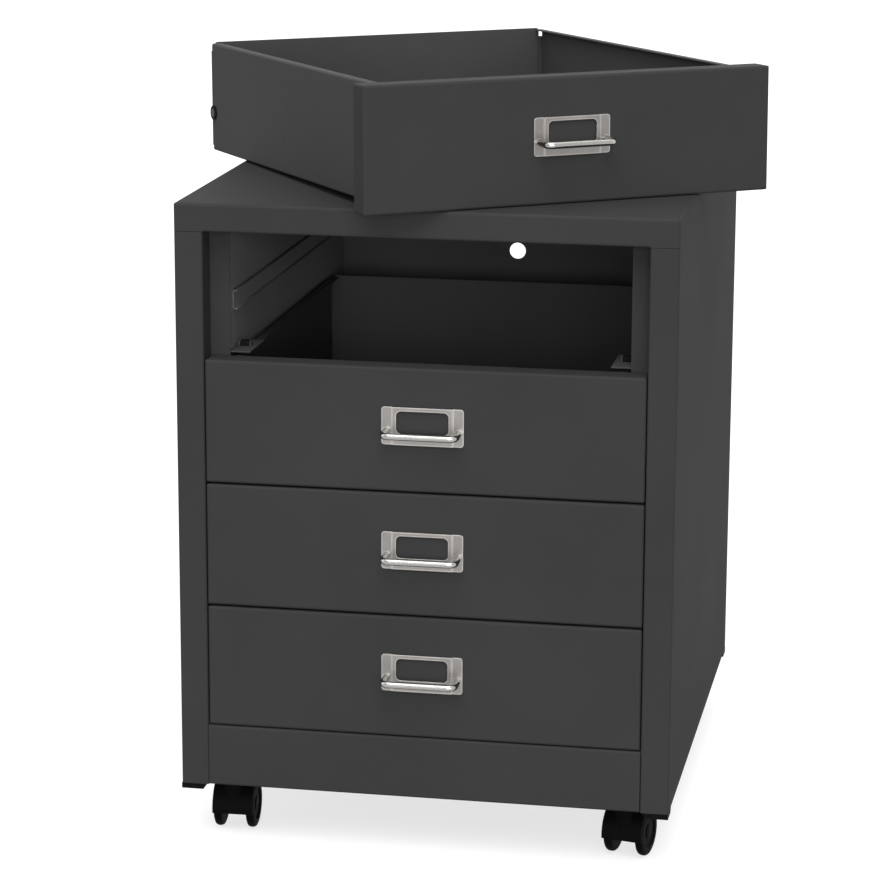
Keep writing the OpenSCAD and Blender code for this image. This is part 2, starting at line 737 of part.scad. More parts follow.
module castor_hood(side, end, yaw) color(black_plastic) at_castor(side, end, yaw) difference() {
    boss_h = hood_top - axle_z;
    union() {
        translate([0, -trail, axle_z]) {
            along_x(castor_w) hood_ring();
            // web between the wheels
            along_x(web_w) intersection() {
                circle(hood_r + hood_t / 2);
                union() {
                    circle(web_r);
                    translate([-web_r, 0]) square([2 * hood_r, 2 * hood_r]);
                }
            }
        }
        // boss round the stem, as wide as the web between the wheels and round above them
        translate([0, 0, axle_z]) intersection() {
            cylinder(d = boss_d, h = boss_h);
            along_x(web_w) translate([-boss_d, 0]) square([2 * boss_d, boss_h]);
        }
        translate([0, 0, axle_z + hood_r]) cylinder(d = boss_d, h = boss_h - hood_r);
    }
    translate([0, 0, hood_top - stem_l]) cylinder(d = stem_d + 2 * run_fit, h = stem_l + past);
    translate([0, -trail, axle_z]) turned_x(axle_d, castor_w);
}

module castor_axle(side, end, yaw) color(zinc) at_castor(side, end, yaw)
    translate([0, -trail, axle_z]) turned_x(axle_d, castor_w - 2 * (wheel_face_t + side_play));

// One wheel: rounded tread, dished outer face and a blind bore; hand is -1 or 1 along the axle
module castor_wheel(side, end, yaw, hand) color(black_plastic) at_castor(side, end, yaw)
    translate([hand * wheel_x, -trail, axle_z]) rotate([0, hand * 90, 0]) translate([0, 0, -wheel_w / 2]) difference() {
        rotate_extrude() soft_square([wheel_d / 2, wheel_w], wheel_round, [0, 1, 0, 1]);
        translate([0, 0, wheel_w - dish_depth]) difference() {
            cylinder(d = dish_d, h = dish_depth + past);
            cylinder(d = dish_hub_d, h = dish_depth + past);
        }
        translate([0, 0, -past]) cylinder(d = axle_d + 2 * run_fit, h = wheel_w - wheel_face_t + past);
    }

// Where the pads' studs go up through the casing's floor
module pad_stud_holes() both_sides() for (y = [pad_w / 2, cabinet_d - pad_w / 2])
    translate([half_w - pad_w / 2, y, -past]) cylinder(d = stud_d, h = stud_l + past);

module corner_pads() color(black_plastic) on_casing() both_sides() for (end = [0, 1])
    translate([half_w, end * cabinet_d, 0]) mirror([0, end, 0]) {
        intersection() {
            translate([-pad_w, 0, -pad_h]) cube([pad_w, pad_w, pad_h]);
            along_x(4 * pad_w) polygon([[0, 0], [pad_w, 0], [pad_w - pad_cut, -pad_h], [0, -pad_h]]);
            along_y(pad_w) polygon([[0, 0], [-pad_w, 0], [pad_cut - pad_w, -pad_h], [0, -pad_h]]);
        }
        translate([-pad_w / 2, pad_w / 2, -pad_h / 2]) cylinder(d = stud_d, h = stud_l + pad_h / 2);
    }

top_cover();
left_side();
right_side();
back_panel();
base_pan();
base_rail();
left_liner();
right_liner();
left_tracks();
right_tracks();
roller_brackets();
bracket_pins();
corner_pads();
castor_mounts();
drawer_front(1);  // drawer_1_front
drawer_tray(1);  // drawer_1_tray
label_holder(1);  // drawer_1_label_holder
pull(1);  // drawer_1_pull
drawer_pins(1);  // drawer_1_pins
drawer_rollers(1);  // drawer_1_rollers
drawer_front(2);  // drawer_2_front
drawer_tray(2);  // drawer_2_tray
label_holder(2);  // drawer_2_label_holder
pull(2);  // drawer_2_pull
drawer_pins(2);  // drawer_2_pins
drawer_rollers(2);  // drawer_2_rollers
drawer_front(3);  // drawer_3_front
drawer_tray(3);  // drawer_3_tray
label_holder(3);  // drawer_3_label_holder
pull(3);  // drawer_3_pull
drawer_pins(3);  // drawer_3_pins
drawer_rollers(3);  // drawer_3_rollers
drawer_front(4);  // drawer_4_front
drawer_tray(4);  // drawer_4_tray
label_holder(4);  // drawer_4_label_holder
pull(4);  // drawer_4_pull
drawer_pins(4);  // drawer_4_pins
drawer_rollers(4);  // drawer_4_rollers
bracket_rollers(1);  // bracket_rollers_1
bracket_rollers(2);  // bracket_rollers_2
bracket_rollers(3);  // bracket_rollers_3
bracket_rollers(4);  // bracket_rollers_4
castor_hood(-1, -1, yaw_front_left);  // front_left_castor_hood
castor_axle(-1, -1, yaw_front_left);  // front_left_castor_axle
castor_wheel(-1, -1, yaw_front_left, -1);  // front_left_wheel_a
castor_wheel(-1, -1, yaw_front_left, 1);  // front_left_wheel_b
castor_hood(1, -1, yaw_front_right);  // front_right_castor_hood
castor_axle(1, -1, yaw_front_right);  // front_right_castor_axle
castor_wheel(1, -1, yaw_front_right, -1);  // front_right_wheel_a
castor_wheel(1, -1, yaw_front_right, 1);  // front_right_wheel_b
castor_hood(-1, 1, yaw_back_left);  // back_left_castor_hood
castor_axle(-1, 1, yaw_back_left);  // back_left_castor_axle
castor_wheel(-1, 1, yaw_back_left, -1);  // back_left_wheel_a
castor_wheel(-1, 1, yaw_back_left, 1);  // back_left_wheel_b
castor_hood(1, 1, yaw_back_right);  // back_right_castor_hood
castor_axle(1, 1, yaw_back_right);  // back_right_castor_axle
castor_wheel(1, 1, yaw_back_right, -1);  // back_right_wheel_a
castor_wheel(1, 1, yaw_back_right, 1);  // back_right_wheel_b
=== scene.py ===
"""Looks for a sheet-steel drawer cabinet on castors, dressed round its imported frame.

Lengths are in metres, apart from those in Viewpoint and WheelSizes, where the class says what
they are in. Colours are linear red, green and blue, and cells of noise are counted to the metre.
"""

from __future__ import annotations

import json
import logging
import math
from collections.abc import Iterable, Sequence
from dataclasses import dataclass
from enum import Enum

import bpy
import numpy as np
from mathutils import Matrix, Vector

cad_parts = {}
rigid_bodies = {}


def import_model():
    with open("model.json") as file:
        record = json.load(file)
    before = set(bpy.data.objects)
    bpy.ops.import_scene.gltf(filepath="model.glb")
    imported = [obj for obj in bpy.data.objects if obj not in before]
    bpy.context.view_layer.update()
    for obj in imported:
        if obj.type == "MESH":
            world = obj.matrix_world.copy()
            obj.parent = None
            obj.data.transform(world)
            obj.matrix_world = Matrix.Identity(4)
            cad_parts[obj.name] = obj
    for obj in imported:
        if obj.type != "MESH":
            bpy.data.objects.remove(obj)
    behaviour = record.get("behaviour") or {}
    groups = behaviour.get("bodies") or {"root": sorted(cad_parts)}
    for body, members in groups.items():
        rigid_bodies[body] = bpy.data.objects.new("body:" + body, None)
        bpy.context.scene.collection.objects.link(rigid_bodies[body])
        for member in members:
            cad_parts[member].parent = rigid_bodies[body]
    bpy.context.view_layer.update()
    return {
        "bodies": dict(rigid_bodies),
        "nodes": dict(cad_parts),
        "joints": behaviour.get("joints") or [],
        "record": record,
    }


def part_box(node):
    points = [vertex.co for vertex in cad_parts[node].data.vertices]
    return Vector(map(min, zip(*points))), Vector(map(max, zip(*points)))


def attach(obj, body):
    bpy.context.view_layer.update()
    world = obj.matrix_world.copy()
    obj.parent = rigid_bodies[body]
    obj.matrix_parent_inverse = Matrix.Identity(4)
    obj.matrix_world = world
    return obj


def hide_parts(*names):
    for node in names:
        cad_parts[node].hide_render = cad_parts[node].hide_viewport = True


Colour = tuple[float, float, float]
Feed = bpy.types.NodeSocket | float | tuple[float, ...]

LOG = logging.getLogger("drawer_cabinet")
MM = 0.001
UPWARDS = (0.0, 0.0, 1.0)
WHITE: Colour = (1.0, 1.0, 1.0)
DRAWERS = 4
BEVEL_SAMPLES = 4
NODE_SPACING = 180

# Where a Mix node keeps its sockets for colours
MIX_SHARE, MIX_FIRST, MIX_SECOND = 0, 6, 7
MIX_RESULT = 2


# ---------------------------------------------------------------- helpers


def unit(vector: np.ndarray) -> np.ndarray:
    """Brings a vector to length 1."""
    return vector / np.linalg.norm(vector)


def toned(
    colour: Colour, gain: float = 1.0, lift: float = 0.0, limit: float = 1.0
) -> tuple[float, ...]:
    """Makes a colour lighter or darker, and opaque.

    Args:
        colour: the colour to start from.
        gain: what each channel is multiplied by.
        lift: what each channel then gains.
        limit: where a channel stops.

    Returns:
        Red, green, blue and an alpha of 1.
    """
    return (*(min(channel * gain + lift, limit) for channel in colour), 1.0)


def stance(
    side: np.ndarray,
    above: np.ndarray,
    behind: np.ndarray,
    place: Sequence[float] = (0.0, 0.0, 0.0),
) -> Matrix:
    """Makes the matrix of an object that stands on three given axes.

    Args:
        side: where its x axis points.
        above: where its y axis points.
        behind: where its z axis points, which is away from what a camera or lamp faces.
        place: its origin.

    Returns:
        The object's world matrix.
    """
    basis = np.eye(4)
    basis[:3, 0], basis[:3, 1], basis[:3, 2], basis[:3, 3] = side, above, behind, place
    return Matrix(basis.tolist())


def add_object(name: str, data: bpy.types.ID) -> bpy.types.Object:
    """Makes an object and links it to the scene.

    Args:
        name: the object's name.
        data: its mesh, lamp or camera.

    Returns:
        The new object.
    """
    thing = bpy.data.objects.new(name, data)
    bpy.context.scene.collection.objects.link(thing)
    return thing


# ---------------------------------------------------------------- shader nodes


class Sockets(Enum):
    """The kinds of value that pass in and out of a shader node group."""

    VALUE = "NodeSocketFloat"
    VECTOR = "NodeSocketVector"


class Wiring:
    """Adds nodes to one tree and wires them up."""

    def __init__(self, tree: bpy.types.NodeTree) -> None:
        """Starts on an empty tree.

        Args:
            tree: the node tree to fill.
        """
        self.tree = tree
        self.column = 0

    @classmethod
    def afresh(cls, owner: bpy.types.Material | bpy.types.World) -> Wiring:
        """Clears the node tree of a material or world and starts on it.

        Args:
            owner: the material or world.

        Returns:
            The wiring of its empty tree.
        """
        owner.use_nodes = True
        owner.node_tree.nodes.clear()
        return cls(owner.node_tree)

    def add(self, kind: str, **settings: object) -> bpy.types.Node:
        """Adds one node.

        Args:
            kind: the node's class name.
            settings: properties to set on it.

        Returns:
            The new node.
        """
        node = self.tree.nodes.new(kind)
        node.location = (self.column * NODE_SPACING, 0)
        self.column += 1
        for name, value in settings.items():
            setattr(node, name, value)
        return node

    def join(self, source: bpy.types.NodeSocket, target: bpy.types.NodeSocket) -> None:
        """Links one socket to another."""
        self.tree.links.new(source, target)

    def feed(self, socket: bpy.types.NodeSocket, value: Feed) -> None:
        """Gives an input what it reads.

        Args:
            socket: the input.
            value: a socket to link to it, or its plain value.
        """
        if isinstance(value, bpy.types.NodeSocket):
            self.join(value, socket)
        else:
            socket.default_value = value

    def maths(self, operation: str, *values: Feed, clamp: bool = False) -> bpy.types.NodeSocket:
        """Adds a Math node.

        Args:
            operation: the node's operation.
            values: sockets or numbers, one for each input.
            clamp: whether the result is held between 0 and 1.

        Returns:
            The node's output socket.
        """
        node = self.add("ShaderNodeMath", operation=operation, use_clamp=clamp)
        for socket, value in zip(node.inputs, values):
            self.feed(socket, value)
        return node.outputs[0]

    def noise(
        self, place: bpy.types.NodeSocket, scale: Feed, detail: float, roughness: float = 0.5
    ) -> bpy.types.NodeSocket:
        """Adds a Noise Texture.

        Args:
            place: the coordinates' socket.
            scale: cells to the metre.
            detail: octaves of finer noise.
            roughness: how strong the finer octaves are.

        Returns:
            The noise's value socket.
        """
        node = self.add("ShaderNodeTexNoise")
        self.join(place, node.inputs["Vector"])
        self.feed(node.inputs["Scale"], scale)
        node.inputs["Detail"].default_value = detail
        node.inputs["Roughness"].default_value = roughness
        return node.outputs["Fac"]

    def span(
        self, value: Feed, low: float, high: float, to_low: float = 0.0, to_high: float = 1.0
    ) -> bpy.types.NodeSocket:
        """Maps a value from one range to another and holds it there.

        Args:
            value: the socket to map.
            low: start of its range.
            high: end of its range.
            to_low: result at the start.
            to_high: result at the end.

        Returns:
            The mapped value's socket.
        """
        node = self.add("ShaderNodeMapRange")
        for socket, given in zip(node.inputs, (value, low, high, to_low, to_high)):
            self.feed(socket, given)
        return node.outputs["Result"]

    def blend(self, share: Feed, first: Feed, second: Feed) -> bpy.types.NodeSocket:
        """Mixes two colours.

        Args:
            share: how much of the second shows.
            first: colour or socket.
            second: colour or socket.

        Returns:
            The mixed colour's socket.
        """
        node = self.add("ShaderNodeMix", data_type="RGBA")
        self.feed(node.inputs[MIX_SHARE], share)
        self.feed(node.inputs[MIX_FIRST], first)
        self.feed(node.inputs[MIX_SECOND], second)
        return node.outputs[MIX_RESULT]


class EffectGroup:
    """A shader node group with named inputs and outputs, built once."""

    def __init__(self, name: str, inputs: dict[str, Sockets], outputs: dict[str, Sockets]) -> None:
        """Makes the group and its sockets.

        Args:
            name: the group's name.
            inputs: socket kind by name.
            outputs: socket kind by name.
        """
        self.tree = bpy.data.node_groups.new(name, "ShaderNodeTree")
        for way, sockets in (("INPUT", inputs), ("OUTPUT", outputs)):
            for label, kind in sockets.items():
                self.tree.interface.new_socket(label, in_out=way, socket_type=kind.value)
        self.wires = Wiring(self.tree)
        self.entry = self.wires.add("NodeGroupInput")
        self.exit = self.wires.add("NodeGroupOutput")

    def take(self, label: str) -> bpy.types.NodeSocket:
        """The socket inside the group that brings in a named input."""
        return self.entry.outputs[label]

    def give(self, label: str, value: bpy.types.NodeSocket) -> None:
        """Puts a value out under a name."""
        self.wires.join(value, self.exit.inputs[label])

    def use(self, wires: Wiring, **values: Feed) -> bpy.types.NodeSocket:
        """Places the group in a material.

        Args:
            wires: the material's wiring.
            values: a socket or plain value for each input, with _ for a space.

        Returns:
            The socket of the group's one output.
        """
        node = wires.add("ShaderNodeGroup", node_tree=self.tree)
        for label, value in values.items():
            wires.feed(node.inputs[label.replace("_", " ")], value)
        return node.outputs[0]


def orange_peel_group() -> EffectGroup:
    """The skin of a sprayed or moulded surface: soft dimples with finer ones in them.

    Returns:
        The group, from Place, Cells and Fine share to Height.
    """
    finer = 2.7
    group = EffectGroup(
        "orange_peel",
        {"Place": Sockets.VECTOR, "Cells": Sockets.VALUE, "Fine share": Sockets.VALUE},
        {"Height": Sockets.VALUE},
    )
    wires = group.wires
    coarse = wires.noise(group.take("Place"), group.take("Cells"), detail=1.0)
    fine_cells = wires.maths("MULTIPLY", group.take("Cells"), finer)
    fine = wires.noise(group.take("Place"), fine_cells, detail=2.0)
    difference = wires.maths("SUBTRACT", fine, coarse)
    height = wires.maths("MULTIPLY_ADD", difference, group.take("Fine share"), coarse)
    group.give("Height", height)
    return group


def drift_group() -> EffectGroup:
    """Slow drift of tone over a surface, as paint film and handling leave it, centred on 0.

    Returns:
        The group, from Place, Cells and Amount to Drift.
    """
    noise_middle = 0.5
    group = EffectGroup(
        "slow_drift",
        {"Place": Sockets.VECTOR, "Cells": Sockets.VALUE, "Amount": Sockets.VALUE},
        {"Drift": Sockets.VALUE},
    )
    wires = group.wires
    cloud = wires.noise(group.take("Place"), group.take("Cells"), detail=4.0, roughness=0.6)
    centred = wires.maths("SUBTRACT", cloud, noise_middle)
    group.give("Drift", wires.maths("MULTIPLY", centred, group.take("Amount")))
    return group


def edge_group() -> EffectGroup:
    """A mask of outer and inner edges: where a rounded normal parts from the flat one.

    It starts and is full at given cosines between the two normals, and speckle takes part of
    it away again.

    Returns:
        The group, from Place, Radius and Break up to Mask.
    """
    start_cosine, full_cosine = 0.995, 0.8
    speckle_cells, speckle_low, speckle_high = 160.0, 0.35, 0.65
    group = EffectGroup(
        "edge_mask",
        {"Place": Sockets.VECTOR, "Radius": Sockets.VALUE, "Break up": Sockets.VALUE},
        {"Mask": Sockets.VALUE},
    )
    wires = group.wires
    rounded = wires.add("ShaderNodeBevel", samples=BEVEL_SAMPLES)
    wires.join(group.take("Radius"), rounded.inputs["Radius"])
    surface = wires.add("ShaderNodeNewGeometry")
    aligned = wires.add("ShaderNodeVectorMath", operation="DOT_PRODUCT")
    wires.join(rounded.outputs["Normal"], aligned.inputs[0])
    wires.join(surface.outputs["True Normal"], aligned.inputs[1])
    edge = wires.span(aligned.outputs["Value"], start_cosine, full_cosine)
    speckle = wires.noise(group.take("Place"), speckle_cells, detail=3.0)
    kept = wires.span(speckle, speckle_low, speckle_high)
    loss = wires.maths("MULTIPLY", wires.maths("SUBTRACT", 1.0, kept), group.take("Break up"))
    whole = wires.maths("SUBTRACT", 1.0, loss)
    group.give("Mask", wires.maths("MULTIPLY", edge, whole, clamp=True))
    return group


def brushed_group() -> EffectGroup:
    """Fine straight scratches along x, as polishing leaves them under a plated skin.

    Returns:
        The group, from Place and Cells to Lines.
    """
    squeeze = (0.03, 1.0, 1.0)
    group = EffectGroup(
        "brushed_lines",
        {"Place": Sockets.VECTOR, "Cells": Sockets.VALUE},
        {"Lines": Sockets.VALUE},
    )
    wires = group.wires
    stretch = wires.add("ShaderNodeVectorMath", operation="MULTIPLY")
    wires.join(group.take("Place"), stretch.inputs[0])
    stretch.inputs[1].default_value = squeeze
    place = stretch.outputs["Vector"]
    group.give("Lines", wires.noise(place, group.take("Cells"), detail=3.0, roughness=0.6))
    return group


@dataclass(frozen=True)
class Effects:
    """The node groups that the finishes share."""

    peel: EffectGroup
    drift: EffectGroup
    edge: EffectGroup
    brushed: EffectGroup

    @staticmethod
    def build() -> Effects:
        """Builds every group once."""
        return Effects(orange_peel_group(), drift_group(), edge_group(), brushed_group())


# ---------------------------------------------------------------- finishes


class Finish:
    """Base of the finishes: a material with a Principled shader on Object coordinates."""

    name: str

    def build(self, effects: Effects) -> bpy.types.Material:
        """Makes the material.

        Args:
            effects: the shared node groups.

        Returns:
            The finished material.
        """
        raise NotImplementedError

    def start(self) -> tuple[bpy.types.Material, Wiring, bpy.types.Node, bpy.types.NodeSocket]:
        """Makes the empty material.

        Returns:
            The material, its wiring, its Principled node and its coordinates' socket.
        """
        material = bpy.data.materials.new(self.name)
        wires = Wiring.afresh(material)
        shader = wires.add("ShaderNodeBsdfPrincipled")
        output = wires.add("ShaderNodeOutputMaterial")
        wires.join(shader.outputs["BSDF"], output.inputs["Surface"])
        place = wires.add("ShaderNodeTexCoord").outputs["Object"]
        return material, wires, shader, place

    def bump(
        self,
        wires: Wiring,
        shader: bpy.types.Node,
        height: bpy.types.NodeSocket,
        strength: float,
        depth: float,
        easing: float,
    ) -> None:
        """Turns a height into the shader's normal, over edges that are eased by a small radius.

        Args:
            wires: the material's wiring.
            shader: the Principled node.
            height: the height's socket.
            strength: how far the relief shows.
            depth: how deep it is.
            easing: the radius of the eased edges.
        """
        eased = wires.add("ShaderNodeBevel", samples=BEVEL_SAMPLES)
        eased.inputs["Radius"].default_value = easing
        node = wires.add("ShaderNodeBump")
        node.inputs["Strength"].default_value = strength
        node.inputs["Distance"].default_value = depth
        wires.join(height, node.inputs["Height"])
        wires.join(eased.outputs["Normal"], node.inputs["Normal"])
        wires.join(node.outputs["Normal"], shader.inputs["Normal"])


@dataclass(frozen=True)
class PowderCoat(Finish):
    """Baked powder paint: satin, with orange peel, slow drift and lighter edges that are partly
    thinner paint and partly painted highlight.

    The tone goes tone_spread below and above the colour while the drift goes from -tone_reach
    to tone_reach. Its edges show edge_share of a lighter colour, partly worn paint and partly
    painted highlight.
    """

    name: str
    colour: Colour
    edge_wear_and_highlight: Colour
    roughness: float = 0.66
    specular: float = 0.011
    peel_cells: float = 520.0
    peel_fine_share: float = 0.3
    peel_strength: float = 0.5
    peel_depth: float = 0.00006
    drift_cells: float = 6.0
    drift_amount: float = 0.22
    tone_spread: float = 0.1
    tone_reach: float = 0.06
    edge_radius: float = 0.0011
    edge_break_up: float = 0.4
    edge_share: float = 0.3
    easing: float = 0.0005

    def build(self, effects: Effects) -> bpy.types.Material:
        """Makes the material.

        Args:
            effects: the shared node groups.

        Returns:
            The finished material.
        """
        material, wires, shader, place = self.start()
        drift = effects.drift.use(
            wires, Place=place, Cells=self.drift_cells, Amount=self.drift_amount
        )
        edge = effects.edge.use(
            wires, Place=place, Radius=self.edge_radius, Break_up=self.edge_break_up
        )
        tone = wires.span(drift, -self.tone_reach, self.tone_reach)
        darker = toned(self.colour, 1.0 - self.tone_spread)
        lighter = toned(self.colour, 1.0 + self.tone_spread)
        film = wires.blend(tone, darker, lighter)
        # lighter edges: partly worn paint, partly a painted highlight along every edge
        share = wires.maths("MULTIPLY", edge, self.edge_share)
        wires.join(wires.blend(share, film, toned(self.edge_wear_and_highlight)), shader.inputs["Base Color"])
        wires.join(wires.maths("ADD", drift, self.roughness), shader.inputs["Roughness"])
        shader.inputs["Specular IOR Level"].default_value = self.specular
        peel = effects.peel.use(
            wires, Place=place, Cells=self.peel_cells, Fine_share=self.peel_fine_share
        )
        self.bump(wires, shader, peel, self.peel_strength, self.peel_depth, self.easing)
        return material


@dataclass(frozen=True)
class PlatedMetal(Finish):
    """Plated steel: polishing lines, a slow drift from dull to full tone and painted highlights on
    its edges.

    The tone goes from dull to colour while the drift goes from -tone_reach to tone_reach, and
    painted highlights on the edges are edge_gain times as bright, up to edge_limit. The roughness
    follows the drift by drift_gloss and the lines, between line_low and line_high, by line_gloss.
    """

    name: str
    colour: Colour
    dull: Colour
    roughness: float
    drift_cells: float = 60.0
    drift_amount: float = 0.3
    drift_gloss: float = 0.5
    tone_reach: float = 0.09
    line_cells: float = 2200.0
    line_low: float = 0.3
    line_high: float = 0.7
    line_gloss: float = 0.03
    line_strength: float = 0.4
    line_depth: float = 0.000003
    edge_radius: float = 0.002
    edge_break_up: float = 0.15
    edge_gain: float = 2.1
    edge_limit: float = 0.92
    edge_share: float = 0.85
    easing: float = 0.00035

    def build(self, effects: Effects) -> bpy.types.Material:
        """Makes the material.

        Args:
            effects: the shared node groups.

        Returns:
            The finished material.
        """
        material, wires, shader, place = self.start()
        drift = effects.drift.use(
            wires, Place=place, Cells=self.drift_cells, Amount=self.drift_amount
        )
        lines = effects.brushed.use(wires, Place=place, Cells=self.line_cells)
        tone = wires.span(drift, -self.tone_reach, self.tone_reach)
        skin = wires.blend(tone, toned(self.dull), toned(self.colour))
        edge = effects.edge.use(
            wires, Place=place, Radius=self.edge_radius, Break_up=self.edge_break_up
        )
        # painted highlight: edges are lightened in the base colour itself, not by a lamp
        bright = toned(self.colour, self.edge_gain, limit=self.edge_limit)
        share = wires.maths("MULTIPLY", edge, self.edge_share)
        wires.join(wires.blend(share, skin, bright), shader.inputs["Base Color"])
        scratches = wires.span(
            lines, self.line_low, self.line_high, -self.line_gloss, self.line_gloss
        )
        clouds = wires.maths("MULTIPLY_ADD", drift, self.drift_gloss, self.roughness)
        wires.join(wires.maths("ADD", scratches, clouds), shader.inputs["Roughness"])
        shader.inputs["Metallic"].default_value = 1.0
        self.bump(wires, shader, lines, self.line_strength, self.line_depth, self.easing)
        return material


@dataclass(frozen=True)
class MouldedPlastic(Finish):
    """Black moulded plastic with a spark-eroded grain and a little dust on what rolls.

    Rubbed edges have rubbed_gain times the colour and rubbed_lift more. Dust lies where its
    noise passes dust_low and is full from dust_high, and dust says how much of it shows.
    """

    name: str
    colour: Colour
    roughness: float
    specular: float = 0.012
    grain_cells: float = 1400.0
    grain_fine_share: float = 0.5
    grain_strength: float = 0.5
    grain_depth: float = 0.00004
    drift_cells: float = 45.0
    drift_amount: float = 0.3
    edge_radius: float = 0.0008
    edge_break_up: float = 0.5
    edge_share: float = 0.45
    rubbed_gain: float = 2.2
    rubbed_lift: float = 0.003
    dust: float = 0.0
    dust_colour: Colour = (0.16, 0.155, 0.15)
    dust_cells: float = 240.0
    dust_detail: float = 4.0
    dust_roughness: float = 0.7
    dust_low: float = 0.5
    dust_high: float = 0.75
    easing: float = 0.0005

    def build(self, effects: Effects) -> bpy.types.Material:
        """Makes the material.

        Args:
            effects: the shared node groups.

        Returns:
            The finished material.
        """
        material, wires, shader, place = self.start()
        drift = effects.drift.use(
            wires, Place=place, Cells=self.drift_cells, Amount=self.drift_amount
        )
        edge = effects.edge.use(
            wires, Place=place, Radius=self.edge_radius, Break_up=self.edge_break_up
        )
        rubbed = toned(self.colour, self.rubbed_gain, self.rubbed_lift)
        share = wires.maths("MULTIPLY", edge, self.edge_share)
        body = wires.blend(share, toned(self.colour), rubbed)
        speck = wires.noise(place, self.dust_cells, self.dust_detail, self.dust_roughness)
        settled = wires.span(speck, self.dust_low, self.dust_high)
        dust = wires.maths("MULTIPLY", settled, self.dust)
        coat = wires.blend(dust, body, toned(self.dust_colour))
        wires.join(coat, shader.inputs["Base Color"])
        wires.join(wires.maths("ADD", drift, self.roughness), shader.inputs["Roughness"])
        shader.inputs["Specular IOR Level"].default_value = self.specular
        grain = effects.peel.use(
            wires, Place=place, Cells=self.grain_cells, Fine_share=self.grain_fine_share
        )
        self.bump(wires, shader, grain, self.grain_strength, self.grain_depth, self.easing)
        return material


class Slot(Enum):
    """The record's material slots."""

    CASING = "casing_paint"
    DRAWER = "drawer_paint"
    INNER = "inner_paint"
    NICKEL = "satin_nickel"
    ZINC = "zinc_plate"
    ROLLER = "roller_plastic"
    CASTOR = "castor_plastic"
    WHEEL = "wheel_plastic"
    PAD = "pad_plastic"


CHARCOAL: Colour = (0.0335, 0.0337, 0.0337)
# paler colours for paint edges: partly worn paint, partly painted highlight
CHARCOAL_WEAR_AND_HIGHLIGHT: Colour = (0.06, 0.061, 0.062)
GREY_WEAR_AND_HIGHLIGHT: Colour = (0.075, 0.076, 0.077)

FINISHES: dict[Slot, Finish] = {
    Slot.CASING: PowderCoat("casing_coat", CHARCOAL, CHARCOAL_WEAR_AND_HIGHLIGHT),
    Slot.DRAWER: PowderCoat("drawer_coat", CHARCOAL, CHARCOAL_WEAR_AND_HIGHLIGHT),
    # painted light: the inner coat is several times lighter than the charcoal casing, standing in
    # for light in the bay
    Slot.INNER: PowderCoat(
        "inner_coat_painted_light", (0.145, 0.1455, 0.1455), (0.14, 0.141, 0.142), edge_share=0.0
    ),
    Slot.NICKEL: PlatedMetal(
        "satin_nickel", (0.25, 0.238, 0.227), (0.19, 0.181, 0.172), roughness=0.36
    ),
    Slot.ZINC: PlatedMetal("zinc_plate", (0.3, 0.3, 0.3), (0.2, 0.2, 0.2), roughness=0.36),
    Slot.ROLLER: MouldedPlastic("roller_nylon", (0.007, 0.007, 0.007), roughness=0.45),
    Slot.CASTOR: MouldedPlastic("castor_shell", (0.0035, 0.0035, 0.0035), roughness=0.5),
    Slot.WHEEL: MouldedPlastic("wheel_nylon", (0.003, 0.003, 0.003), roughness=0.5, dust=0.008),
    Slot.PAD: MouldedPlastic("pad_plastic", (0.005, 0.005, 0.005), roughness=0.5),
}

# painted light: the back panel wears a lighter copy of the charcoal paint, standing in for light
# on the bay's back wall
BACK_COAT_PAINTED_LIGHT = PowderCoat("back_coat_painted_light", (0.056, 0.0562, 0.0562), GREY_WEAR_AND_HIGHLIGHT)
# painted light: the trays wear a lighter copy of the charcoal paint, standing in for light inside
# the drawers
TRAY_COAT_PAINTED_LIGHT = PowderCoat("tray_coat_painted_light", (0.05, 0.0502, 0.0502), GREY_WEAR_AND_HIGHLIGHT)
# painted light: the brackets wear a lighter copy of the charcoal paint, standing in for light in
# the bay
BRACKET_COAT_PAINTED_LIGHT = PowderCoat(
    "bracket_coat_painted_light", (0.055, 0.0552, 0.0552), CHARCOAL_WEAR_AND_HIGHLIGHT, edge_share=0.0
)
RAIL_COAT = PowderCoat("rail_coat", CHARCOAL, CHARCOAL_WEAR_AND_HIGHLIGHT, edge_share=0.0, easing=0.0001)
BLACK_PIN = PlatedMetal(
    "blackened_steel", (0.02, 0.02, 0.02), (0.013, 0.013, 0.013), roughness=0.45, edge_share=0.0
)
PULL_NICKEL = PlatedMetal(
    "pull_nickel", (0.37, 0.36, 0.347), (0.32, 0.311, 0.3), roughness=0.22, edge_share=0.0
)
VARIANTS: tuple[Finish, ...] = (
    BACK_COAT_PAINTED_LIGHT,
    TRAY_COAT_PAINTED_LIGHT,
    BRACKET_COAT_PAINTED_LIGHT,
    RAIL_COAT,
    BLACK_PIN,
    PULL_NICKEL,
)


# ---------------------------------------------------------------- studio


